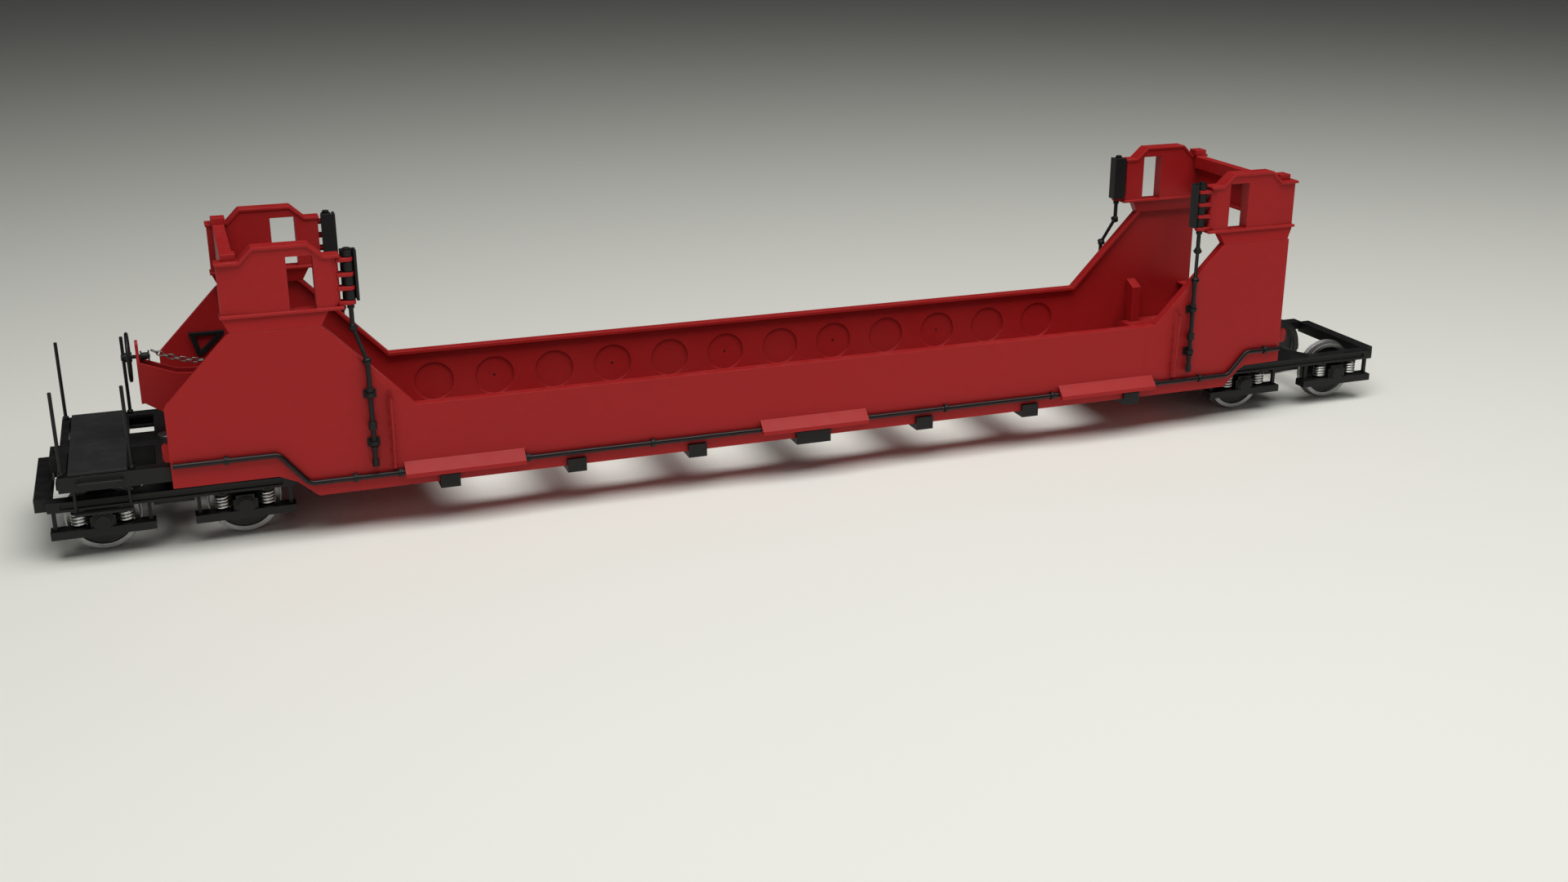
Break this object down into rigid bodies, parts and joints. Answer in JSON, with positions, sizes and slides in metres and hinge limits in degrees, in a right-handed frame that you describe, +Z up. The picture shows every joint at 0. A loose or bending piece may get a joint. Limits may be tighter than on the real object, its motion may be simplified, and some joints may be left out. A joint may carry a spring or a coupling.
{
  "type": "model container well car",
  "caption": "Railway model of a container well car: deep side plates, bulkhead towers with swinging guide flaps, brake platform, sprung bogies.",
  "frame": {"origin": "bottom centre of the bounding box: middle of the length, on the centre line, at the lowest point of the wheel flanges (rail top is 1.0 mm above)", "axes": "+X along the car from the brake platform end (a, -X) to the other end (b); +Y to the rear side; +Z up"},
  "size_m": [0.6572, 0.0964, 0.1275],
  "materials": {
    "red_paint": "semi-gloss red paint",
    "black_paint": "satin black paint",
    "bright_steel": "bright drawn wire",
    "wheel_steel": "turned light-grey rim, blackened web",
    "axle_steel": "turned steel",
    "pipe_brown": "dark brown-black gloss",
    "deck_grey": "dark grey walkway paint",
    "plain_steel": "plain steel"
  },
  "bodies": {
    "car_body": {"side_plate_front": "red_paint", "side_plate_rear": "red_paint", "tower_a_front": "red_paint", "tower_a_rear": "red_paint", "tower_b_front": "red_paint", "tower_b_rear": "red_paint", "cross_beams": "red_paint", "well_floor": "red_paint", "cross_members": "black_paint", "container_seats": "plain_steel", "end_bulkheads": "red_paint", "end_frame_a": "black_paint", "end_frame_b": "black_paint", "king_pins": "plain_steel", "platform_deck": "deck_grey", "platform_posts": "black_paint", "steps_and_grab_irons": "black_paint", "brake_stand": "red_paint", "brake_chain": "bright_steel", "end_brackets": "black_paint", "brake_pipes": "pipe_brown", "pipe_clamps": "black_paint", "pipe_covers": "red_paint", "shaft_brackets": "black_paint"},
    "bogie_a": {"bogie_frame_a": "black_paint", "springs_a1": "bright_steel", "springs_a2": "bright_steel"},
    "axle_carrier_a1": {"axleboxes_a1": "black_paint"},
    "wheelset_a1": {"wheels_a1": "wheel_steel", "axle_a1": "axle_steel"},
    "axle_carrier_a2": {"axleboxes_a2": "black_paint"},
    "wheelset_a2": {"wheels_a2": "wheel_steel", "axle_a2": "axle_steel"},
    "bogie_b": {"bogie_frame_b": "black_paint", "springs_b1": "bright_steel", "springs_b2": "bright_steel"},
    "axle_carrier_b1": {"axleboxes_b1": "black_paint"},
    "wheelset_b1": {"wheels_b1": "wheel_steel", "axle_b1": "axle_steel"},
    "axle_carrier_b2": {"axleboxes_b2": "black_paint"},
    "wheelset_b2": {"wheels_b2": "wheel_steel", "axle_b2": "axle_steel"},
    "flap_a_front": {"guide_flap_a_front": "black_paint", "hinge_rod_a_front": "black_paint"},
    "link_a_front": {"link_shaft_a_front": "black_paint"},
    "lower_a_front": {"lower_shaft_a_front": "black_paint"},
    "flap_a_rear": {"guide_flap_a_rear": "black_paint", "hinge_rod_a_rear": "black_paint"},
    "link_a_rear": {"link_shaft_a_rear": "black_paint"},
    "lower_a_rear": {"lower_shaft_a_rear": "black_paint"},
    "flap_b_front": {"guide_flap_b_front": "black_paint", "hinge_rod_b_front": "black_paint"},
    "link_b_front": {"link_shaft_b_front": "black_paint"},
    "lower_b_front": {"lower_shaft_b_front": "black_paint"},
    "flap_b_rear": {"guide_flap_b_rear": "black_paint", "hinge_rod_b_rear": "black_paint"},
    "link_b_rear": {"link_shaft_b_rear": "black_paint"},
    "lower_b_rear": {"lower_shaft_b_rear": "black_paint"},
    "hand_brake": {"brake_wheel": "black_paint", "brake_shaft": "black_paint"}
  },
  "joints": [
    {"name": "bogie_a_swivel", "type": "hinge", "parent": "car_body", "child": "bogie_a", "pos_m": [-0.27465, 0, 0.0275], "axis": [0, 0, 1], "range_deg": [-6, 6]},
    {"name": "axle_a1_travel", "type": "slide", "parent": "bogie_a", "child": "axle_carrier_a1", "axis": [0, 0, 1], "range_m": [0, 0.0012], "deforming": ["springs_a1"]},
    {"name": "wheelset_a1_turn", "type": "hinge", "parent": "axle_carrier_a1", "child": "wheelset_a1", "pos_m": [-0.3029, 0, 0.0155], "axis": [0, 1, 0], "continuous": true},
    {"name": "axle_a2_travel", "type": "slide", "parent": "bogie_a", "child": "axle_carrier_a2", "axis": [0, 0, 1], "range_m": [0, 0.0012], "deforming": ["springs_a2"]},
    {"name": "wheelset_a2_turn", "type": "hinge", "parent": "axle_carrier_a2", "child": "wheelset_a2", "pos_m": [-0.2464, 0, 0.0155], "axis": [0, 1, 0], "continuous": true},
    {"name": "bogie_b_swivel", "type": "hinge", "parent": "car_body", "child": "bogie_b", "pos_m": [0.27465, 0, 0.0275], "axis": [0, 0, 1], "range_deg": [-6, 6]},
    {"name": "axle_b1_travel", "type": "slide", "parent": "bogie_b", "child": "axle_carrier_b1", "axis": [0, 0, 1], "range_m": [0, 0.0012], "deforming": ["springs_b1"]},
    {"name": "wheelset_b1_turn", "type": "hinge", "parent": "axle_carrier_b1", "child": "wheelset_b1", "pos_m": [0.2464, 0, 0.0155], "axis": [0, 1, 0], "continuous": true},
    {"name": "axle_b2_travel", "type": "slide", "parent": "bogie_b", "child": "axle_carrier_b2", "axis": [0, 0, 1], "range_m": [0, 0.0012], "deforming": ["springs_b2"]},
    {"name": "wheelset_b2_turn", "type": "hinge", "parent": "axle_carrier_b2", "child": "wheelset_b2", "pos_m": [0.3029, 0, 0.0155], "axis": [0, 1, 0], "continuous": true},
    {"name": "flap_a_front_swing", "type": "hinge", "parent": "car_body", "child": "flap_a_front", "pos_m": [-0.19695, -0.0396, 0.111], "axis": [0, 0, 1], "range_deg": [-90, 0]},
    {"name": "link_a_front_turn", "type": "hinge", "parent": "car_body", "child": "link_a_front", "pos_m": [-0.19485, -0.04265, 0.0835], "axis": [-0.2652, 0.3851, 0.8839], "range_deg": [-90, 0]},
    {"name": "lower_shaft_a_front_turn", "type": "hinge", "parent": "car_body", "child": "lower_a_front", "pos_m": [-0.19275, -0.0457, 0.051], "axis": [0, 0, 1], "range_deg": [-90, 0]},
    {"name": "flap_a_rear_swing", "type": "hinge", "parent": "car_body", "child": "flap_a_rear", "pos_m": [-0.19695, 0.0396, 0.111], "axis": [0, 0, 1], "range_deg": [0, 90]},
    {"name": "link_a_rear_turn", "type": "hinge", "parent": "car_body", "child": "link_a_rear", "pos_m": [-0.19485, 0.04265, 0.0835], "axis": [-0.2652, -0.3851, 0.8839], "range_deg": [0, 90]},
    {"name": "lower_shaft_a_rear_turn", "type": "hinge", "parent": "car_body", "child": "lower_a_rear", "pos_m": [-0.19275, 0.0457, 0.051], "axis": [0, 0, 1], "range_deg": [0, 90]},
    {"name": "flap_b_front_swing", "type": "hinge", "parent": "car_body", "child": "flap_b_front", "pos_m": [0.20825, -0.0396, 0.111], "axis": [0, 0, 1], "range_deg": [0, 90]},
    {"name": "link_b_front_turn", "type": "hinge", "parent": "car_body", "child": "link_b_front", "pos_m": [0.20615, -0.04265, 0.0835], "axis": [0.2652, 0.3851, 0.8839], "range_deg": [0, 90]},
    {"name": "lower_shaft_b_front_turn", "type": "hinge", "parent": "car_body", "child": "lower_b_front", "pos_m": [0.20405, -0.0457, 0.051], "axis": [0, 0, 1], "range_deg": [0, 90]},
    {"name": "flap_b_rear_swing", "type": "hinge", "parent": "car_body", "child": "flap_b_rear", "pos_m": [0.20825, 0.0396, 0.111], "axis": [0, 0, 1], "range_deg": [-90, 0]},
    {"name": "link_b_rear_turn", "type": "hinge", "parent": "car_body", "child": "link_b_rear", "pos_m": [0.20615, 0.04265, 0.0835], "axis": [0.2652, -0.3851, 0.8839], "range_deg": [-90, 0]},
    {"name": "lower_shaft_b_rear_turn", "type": "hinge", "parent": "car_body", "child": "lower_b_rear", "pos_m": [0.20405, 0.0457, 0.051], "axis": [0, 0, 1], "range_deg": [-90, 0]},
    {"name": "brake_wheel_turn", "type": "hinge", "parent": "car_body", "child": "hand_brake", "pos_m": [-0.28235, 0, 0.0753], "axis": [1, 0, 0], "range_deg": [0, 540]}
  ],
  "couplings": [
    {"joint": "link_a_front_turn", "follows": "flap_a_front_swing", "ratio": 1},
    {"joint": "lower_shaft_a_front_turn", "follows": "flap_a_front_swing", "ratio": 1},
    {"joint": "link_a_rear_turn", "follows": "flap_a_rear_swing", "ratio": 1},
    {"joint": "lower_shaft_a_rear_turn", "follows": "flap_a_rear_swing", "ratio": 1},
    {"joint": "link_b_front_turn", "follows": "flap_b_front_swing", "ratio": 1},
    {"joint": "lower_shaft_b_front_turn", "follows": "flap_b_front_swing", "ratio": 1},
    {"joint": "link_b_rear_turn", "follows": "flap_b_rear_swing", "ratio": 1},
    {"joint": "lower_shaft_b_rear_turn", "follows": "flap_b_rear_swing", "ratio": 1}
  ]
}
